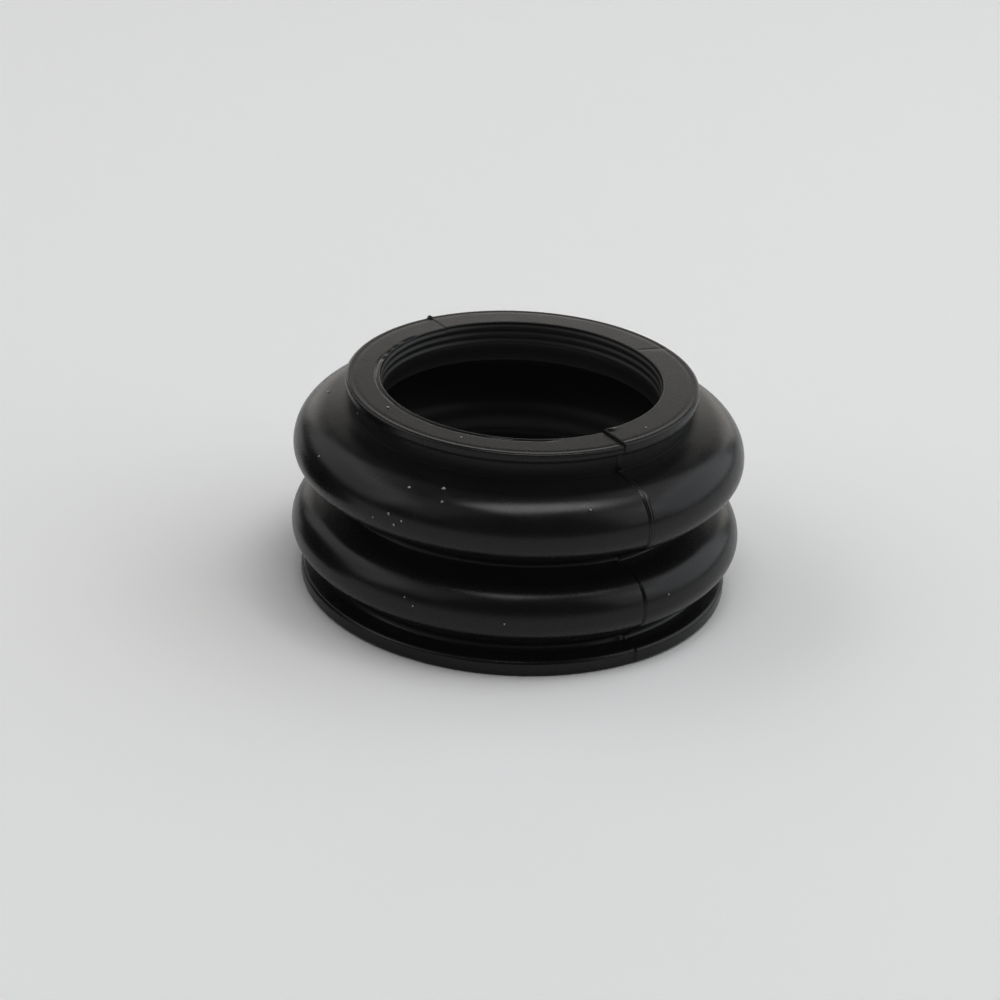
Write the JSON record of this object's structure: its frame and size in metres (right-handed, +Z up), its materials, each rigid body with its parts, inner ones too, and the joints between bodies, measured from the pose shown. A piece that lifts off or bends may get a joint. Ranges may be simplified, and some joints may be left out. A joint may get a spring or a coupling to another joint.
{
  "type": "fork gaiter",
  "caption": "Short round bellows of black rubber with rounded folds, a ribbed bore under a flat collar and a wider flanged foot, to seal a sliding fork tube.",
  "frame": {"origin": "centre of the foot's underside, on the axis of the bore", "axes": "+Z up the bore from the foot to the collar, +X at the parting line on one side, +Y towards the half whose collar stands a little higher"},
  "size_m": [0.0564, 0.056, 0.0271],
  "materials": {
    "rubber": "black moulded rubber with a soft sheen, duller on the neck and in the folds"
  },
  "bodies": {
    "root": {"gaiter_moulding": "rubber"}
  },
  "joints": []
}
